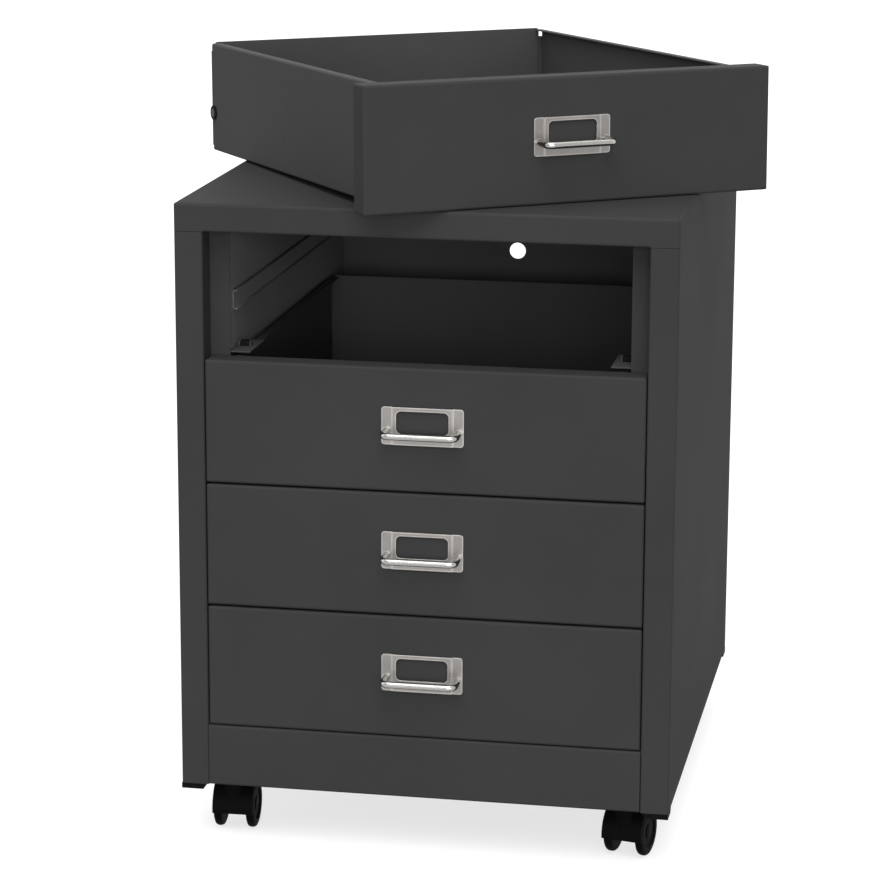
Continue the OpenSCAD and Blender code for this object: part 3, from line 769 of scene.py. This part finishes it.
@dataclass(frozen=True)
class Viewpoint:
    """The main camera, placed from the casing's left front lower corner.

    Place, lens and sensor are in millimetres and reach is in metres. The angles are in
    degrees: turn is to the right, drop is down and roll lifts the right side.
    """

    place: tuple[float, float, float] = (659.9, -2400.1, 878.8)
    turn: float = -10.526
    drop: float = 13.372
    roll: float = 0.22
    lens: float = 130.59
    sensor: float = 36.0
    reach: float = 60.0

    def build(self, corner: np.ndarray) -> None:
        """Makes the camera and gives it to the scene.

        Args:
            corner: the casing's left front lower corner, in metres.
        """
        turn, drop, roll = (math.radians(angle) for angle in (self.turn, self.drop, self.roll))
        ahead = np.array([
            math.sin(turn) * math.cos(drop),
            math.cos(turn) * math.cos(drop),
            -math.sin(drop),
        ])
        level = np.array([math.cos(turn), -math.sin(turn), 0.0])
        above = np.cross(level, ahead)
        right = math.cos(roll) * level + math.sin(roll) * above
        up = math.cos(roll) * above - math.sin(roll) * level
        data = bpy.data.cameras.new("camera")
        data.lens = self.lens
        data.sensor_fit = "HORIZONTAL"
        data.sensor_width = self.sensor
        data.clip_end = self.reach
        camera = add_object("camera", data)
        camera.matrix_world = stance(right, up, -ahead, corner + np.array(self.place) * MM)
        bpy.context.scene.camera = camera


@dataclass(frozen=True)
class DistantPanel:
    """A wide soft lamp so far off that it lights every place alike.

    Azimuth is measured from straight in front towards the right. Azimuth, height and spread
    are in degrees, and a level of 1 shows a matt white surface that faces the lamp as white.
    """

    name: str
    azimuth: float
    height: float
    spread: float
    level: float

    def build(self) -> None:
        """Adds the lamp to the scene."""
        data = bpy.data.lights.new(self.name, "SUN")
        data.energy = self.level * math.pi
        data.angle = math.radians(self.spread)
        azimuth, height = math.radians(self.azimuth), math.radians(self.height)
        towards = np.array([
            math.sin(azimuth) * math.cos(height),
            -math.cos(azimuth) * math.cos(height),
            math.sin(height),
        ])
        side = unit(np.cross(UPWARDS, towards))
        lamp = add_object(self.name, data)
        lamp.matrix_world = stance(side, np.cross(towards, side), towards)


PANELS: tuple[DistantPanel, ...] = (
    DistantPanel("front_panel", azimuth=6.0, height=9.0, spread=26.0, level=0.44),
    DistantPanel("right_panel", azimuth=32.0, height=7.0, spread=22.0, level=0.16),
    DistantPanel("left_panel", azimuth=-80.0, height=25.0, spread=45.0, level=0.2),
    DistantPanel("rear_panel", azimuth=176.0, height=30.0, spread=60.0, level=0.42),
    DistantPanel("right_side_panel", azimuth=100.0, height=20.0, spread=60.0, level=0.16),
    DistantPanel("front_high_panel", azimuth=6.0, height=52.0, spread=40.0, level=0.64),
    DistantPanel("top_panel", azimuth=0.0, height=88.0, spread=60.0, level=0.46),
)


@dataclass(frozen=True)
class Studio:
    """Plain pale floor, even surroundings and soft lamps.

    The surroundings show as backdrop and light the object as ambient. The floor's lift is
    the glow that brings it up to the backdrop for the eye.
    """

    backdrop: float = 1.0
    ambient: float = 0.4
    floor_half: float = 9.0
    floor_colour: Colour = (0.3, 0.3, 0.3)
    floor_lift: float = 0.72

    def build(self) -> None:
        """Builds the surroundings, the lamps and the floor."""
        self.surroundings()
        for panel in PANELS:
            panel.build()
        self.floor()

    def seen_rays(self, wires: Wiring) -> bpy.types.NodeSocket:
        """A mask that is 1 for rays from the camera and for those that mirror or pass through.

        Args:
            wires: the wiring of the material or world that reads it.

        Returns:
            The mask's socket.
        """
        rays = wires.add("ShaderNodeLightPath")
        seen = wires.maths("MAXIMUM", rays.outputs["Is Camera Ray"], rays.outputs["Is Glossy Ray"])
        return wires.maths("MAXIMUM", seen, rays.outputs["Is Transmission Ray"])

    def surroundings(self) -> None:
        """A white backdrop to the eye that lights the object at a lower, plain level."""
        world = bpy.data.worlds.new("studio_air")
        wires = Wiring.afresh(world)
        output = wires.add("ShaderNodeOutputWorld")
        mix = wires.add("ShaderNodeMixShader")
        wires.join(self.seen_rays(wires), mix.inputs["Fac"])
        for socket, strength in zip(mix.inputs[1:], (self.ambient, self.backdrop)):
            air = wires.add("ShaderNodeBackground")
            air.inputs["Color"].default_value = toned(WHITE)
            air.inputs["Strength"].default_value = strength
            wires.join(air.outputs["Background"], socket)
        wires.join(mix.outputs["Shader"], output.inputs["Surface"])
        bpy.context.scene.world = world

    def floor(self) -> None:
        """A flat pale floor that keeps the object's shadow and is white elsewhere."""
        half = self.floor_half
        mesh = bpy.data.meshes.new("floor")
        corners = [(-half, -half, 0.0), (half, -half, 0.0), (half, half, 0.0), (-half, half, 0.0)]
        mesh.from_pydata(corners, [], [(0, 1, 2, 3)])
        floor = add_object("floor", mesh)
        material = bpy.data.materials.new("floor_paper")
        wires = Wiring.afresh(material)
        output = wires.add("ShaderNodeOutputMaterial")
        paper = wires.add("ShaderNodeBsdfDiffuse")
        paper.inputs["Color"].default_value = toned(self.floor_colour)
        glow = wires.add("ShaderNodeEmission")
        lift = wires.maths("MULTIPLY", self.seen_rays(wires), self.floor_lift)
        wires.join(lift, glow.inputs["Strength"])
        both = wires.add("ShaderNodeAddShader")
        wires.join(paper.outputs["BSDF"], both.inputs[0])
        wires.join(glow.outputs["Emission"], both.inputs[1])
        wires.join(both.outputs["Shader"], output.inputs["Surface"])
        mesh.materials.append(material)


# ---------------------------------------------------------------- shapes


def turned_shape(
    name: str, profile: np.ndarray, centre: np.ndarray, axis: np.ndarray, segments: int
) -> bpy.types.Object:
    """Turns a profile about an axis.

    The profile's rows are (distance along the axis, radius), from pole to pole, so its first
    and last radius are nought. The surface is S(i, k) = centre + axis * along[i] + radius[i] *
    (first * cos(angle[k]) + second * sin(angle[k])), where first and second stand square to the
    axis. Each pole is one point, joined to its ring by triangles.

    Args:
        name: the piece's name.
        profile: an array of n rows and two columns, in metres.
        centre: where the axis starts.
        axis: unit vector along the axis.
        segments: how many faces go round.

    Returns:
        The object, with its place in its mesh.
    """
    first = unit(np.cross(UPWARDS, axis))
    second = np.cross(axis, first)
    angle = np.linspace(0.0, 2.0 * math.pi, segments, endpoint=False)
    round_axis = np.cos(angle)[:, None] * first + np.sin(angle)[:, None] * second
    rings = profile[1:-1]
    grid = centre + rings[:, :1, None] * axis + rings[:, 1:, None] * round_axis[None]
    poles = centre + profile[[0, -1], :1] * axis
    points = np.concatenate([grid.reshape(-1, 3), poles])
    here = np.arange(segments)
    after = (here + 1) % segments
    near = np.arange(len(rings) - 1)[:, None] * segments
    far = near + segments
    quads = np.stack([near + here, far + here, far + after, near + after], axis=-1)
    start, end = len(points) - 2, len(points) - 1
    last_row = (len(rings) - 1) * segments
    start_fan = np.stack([np.full(segments, start), here, after], axis=-1)
    end_fan = np.stack([np.full(segments, end), last_row + after, last_row + here], axis=-1)
    mesh = bpy.data.meshes.new(name)
    faces = quads.reshape(-1, 4).tolist() + start_fan.tolist() + end_fan.tolist()
    mesh.from_pydata(points.tolist(), [], faces)
    mesh.polygons.foreach_set("use_smooth", np.ones(len(faces), dtype=bool))
    mesh.update()
    return add_object(name, mesh)


def eased_profile(corners: Sequence[tuple[float, float, float]], steps: int = 6) -> np.ndarray:
    """Rounds the corners of a profile.

    At each corner P with easing e, the two straight runs stop at a distance e from P, and the
    curve (1-t)^2 * A + 2t(1-t) * P + t^2 * B joins the stops A and B.

    Args:
        corners: along, radius and easing for each corner, the ends uneased.
        steps: points on each eased corner.

    Returns:
        The profile's points as rows.
    """
    points = np.array([corner[:2] for corner in corners])
    share = np.linspace(0.0, 1.0, steps)[:, None]
    runs: list[np.ndarray] = [points[:1]]
    for index in range(1, len(points) - 1):
        before, here, after = points[index - 1], points[index], points[index + 1]
        easing = corners[index][2]
        stop = here + unit(before - here) * easing
        start = here + unit(after - here) * easing
        runs.append((1 - share) ** 2 * stop + 2 * share * (1 - share) * here + share**2 * start)
    runs.append(points[-1:])
    return np.concatenate(runs)


# ---------------------------------------------------------------- the cabinet


class Wardrobe:
    """Holds a material for each slot and each variant and puts them on nodes and pieces."""

    def __init__(self, frame: dict, effects: Effects) -> None:
        """Builds the finishes.

        Args:
            effects: the shared node groups.
        """
        self.frame = frame
        subparts = frame["record"]["subparts"]
        self.slot_of = {part["node"]: Slot(part["material_slot"]) for part in subparts}
        bodies = frame["record"]["behaviour"]["bodies"]
        self.body_of = {node: body for body, nodes in bodies.items() for node in nodes}
        self.materials = {slot: finish.build(effects) for slot, finish in FINISHES.items()}
        self.variants = {finish: finish.build(effects) for finish in VARIANTS}

    def dress_node(self, name: str, finish: Finish | None = None) -> None:
        """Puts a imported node's finish on it.

        Args:
            name: the node.
            finish: the variant that it wears in place of its slot's finish, if any.
        """
        material = self.variants[finish] if finish else self.materials[self.slot_of[name]]
        for slot in self.frame["nodes"][name].material_slots:
            slot.material = material
        LOG.info("%s wears %s", name, material.name)

    def dress_piece(self, piece: bpy.types.Object, node: str) -> None:
        """Gives a new piece the finish, slot and body of the node that it stands for.

        Args:
            piece: the new piece.
            node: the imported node.
        """
        piece.data.materials.append(self.materials[self.slot_of[node]])
        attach(piece, self.body_of[node])
        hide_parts(node)
        LOG.info("%s stands for %s", piece.name, node)


class SubAssembly:
    """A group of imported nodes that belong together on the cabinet."""

    def nodes(self) -> dict[str, Finish | None]:
        """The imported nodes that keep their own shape, each with its variant finish or none."""
        raise NotImplementedError

    def build(self, wardrobe: Wardrobe) -> None:
        """Dresses the nodes; a sub-assembly with pieces of its own adds them here.

        Args:
            wardrobe: the finishes.
        """
        for name, finish in self.nodes().items():
            wardrobe.dress_node(name, finish)


@dataclass(frozen=True)
class Casing(SubAssembly):
    """The painted shell, the castors' plates and the corner pads."""

    panels: tuple[str, ...] = ("top_cover", "left_side", "right_side", "base_pan")

    def nodes(self) -> dict[str, Finish | None]:
        """The shell's panels, plates and pads, with finishes of their own for back and rail; the
        back panel's lighter tone is painted light in the bay.
        """
        plain = dict.fromkeys((*self.panels, "castor_mounts", "corner_pads"))
        return {**plain, "back_panel": BACK_COAT_PAINTED_LIGHT, "base_rail": RAIL_COAT}


@dataclass(frozen=True)
class Runners(SubAssembly):
    """Liners, tracks, brackets and the rollers on them."""

    sheets: tuple[str, ...] = ("left_liner", "right_liner", "left_tracks", "right_tracks")
    drawers: int = DRAWERS

    def nodes(self) -> dict[str, Finish | None]:
        """Lists the nodes.

        Returns:
            Sheet-metal parts in the inner coat and rollers, with brackets lighter than the casing
            and blackened pins; both coats are painted light in the bay.
        """
        rollers = (f"bracket_rollers_{number}" for number in range(1, self.drawers + 1))
        return {
            **dict.fromkeys((*self.sheets, *rollers)),
            "roller_brackets": BRACKET_COAT_PAINTED_LIGHT,
            "bracket_pins": BLACK_PIN,
        }


@dataclass(frozen=True)
class DrawerUnit(SubAssembly):
    """One drawer: front, tray, label holder, pull, pins and rear rollers."""

    number: int

    def nodes(self) -> dict[str, Finish | None]:
        """Lists the nodes.

        Returns:
            The drawer's nodes, with a tray lighter than the front as painted light on its walls, a
            brighter pull and blackened pins.
        """
        parts = {
            **dict.fromkeys(("front", "label_holder", "rollers")),
            "tray": TRAY_COAT_PAINTED_LIGHT,
            "pull": PULL_NICKEL,
            "pins": BLACK_PIN,
        }
        return {f"drawer_{self.number}_{part}": finish for part, finish in parts.items()}


class Corner(Enum):
    """The four places of a castor."""

    FRONT_LEFT = "front_left"
    FRONT_RIGHT = "front_right"
    BACK_LEFT = "back_left"
    BACK_RIGHT = "back_right"


@dataclass(frozen=True)
class WheelSizes:
    """Sizes of one moulded wheel, in millimetres.

    The shoulders ease both edges of the tread, and the draft slopes the walls of the dish. The
    seam is a parting line's height on the middle of the tread.
    """

    diameter: float = 40.0
    width: float = 6.8
    shoulder: float = 3.0
    seam: float = 0.06
    seam_half_width: float = 0.25
    seam_easing: float = 0.1
    dish: float = 27.0
    dish_depth: float = 1.2
    dish_easing: float = 0.35
    draft: float = 0.5
    hub: float = 12.0
    hub_dome: float = 0.5
    bore: float = 5.1
    bore_depth: float = 4.4
    bore_end_easing: float = 0.3
    bore_lip_easing: float = 0.2
    segments: int = 128

    def profile(self) -> np.ndarray:
        """Works out the wheel's profile.

        Returns:
            Its points from the bore's blind end round the tread to the hub's middle, in metres.
        """
        outer = self.width / 2
        inner = -outer
        bore_end = self.bore_depth - outer
        dish_floor = outer - self.dish_depth
        crest = self.diameter / 2
        tread = crest - self.seam
        corners = (
            (bore_end, 0.0, 0.0),
            (bore_end, self.bore / 2, self.bore_end_easing),
            (inner, self.bore / 2, self.bore_lip_easing),
            (inner, tread, self.shoulder),
            (-self.seam_half_width, tread, self.seam_easing),
            (0.0, crest, self.seam_easing),
            (self.seam_half_width, tread, self.seam_easing),
            (outer, tread, self.shoulder),
            (outer, self.dish / 2, self.dish_easing),
            (dish_floor, self.dish / 2 - self.draft, self.dish_easing),
            (dish_floor, self.hub / 2 + self.draft, self.dish_easing),
            (outer - self.hub_dome, self.hub / 2, self.dish_easing),
            (outer, 0.0, 0.0),
        )
        return eased_profile(corners) * MM


@dataclass(frozen=True)
class Castor(SubAssembly):
    """A twin-wheel castor: hood and axle as packed, and two moulded wheels."""

    corner: Corner
    wheel: WheelSizes = WheelSizes()

    def nodes(self) -> dict[str, Finish | None]:
        """The hood and the axle."""
        return dict.fromkeys(f"{self.corner.value}_castor_{part}" for part in ("hood", "axle"))

    def build(self, wardrobe: Wardrobe) -> None:
        """Dresses hood and axle and builds the two wheels.

        Args:
            wardrobe: the finishes.
        """
        super().build(wardrobe)
        middles = {}
        for letter in ("a", "b"):
            low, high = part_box(f"{self.corner.value}_wheel_{letter}")
            middles[letter] = (np.array(low) + np.array(high)) / 2
        for letter, other in (("a", "b"), ("b", "a")):
            node = f"{self.corner.value}_wheel_{letter}"
            middle = middles[letter]
            outwards = unit(middle - middles[other])
            profile = self.wheel.profile()
            piece = turned_shape(
                f"{node}_moulded", profile, middle, outwards, self.wheel.segments
            )
            wardrobe.dress_piece(piece, node)


def cabinet_parts() -> Iterable[SubAssembly]:
    """Makes the cabinet's sub-assemblies.

    Yields:
        Each of them, in the order they are dressed.
    """
    yield Casing()
    yield Runners()
    for number in range(1, DRAWERS + 1):
        yield DrawerUnit(number)
    for corner in Corner:
        yield Castor(corner)


def main() -> None:
    """Builds the camera, the studio and the cabinet's looks."""
    logging.basicConfig(level=logging.INFO, format="%(message)s")
    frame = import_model()
    cover_low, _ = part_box("top_cover")
    side_low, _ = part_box("left_side")
    Viewpoint().build(np.array([side_low[0], cover_low[1], side_low[2]]))
    Studio().build()
    wardrobe = Wardrobe(frame, Effects.build())
    for part in cabinet_parts():
        part.build(wardrobe)
    bpy.context.scene.view_settings.view_transform = "Standard"


if __name__ == "__main__":
    main()
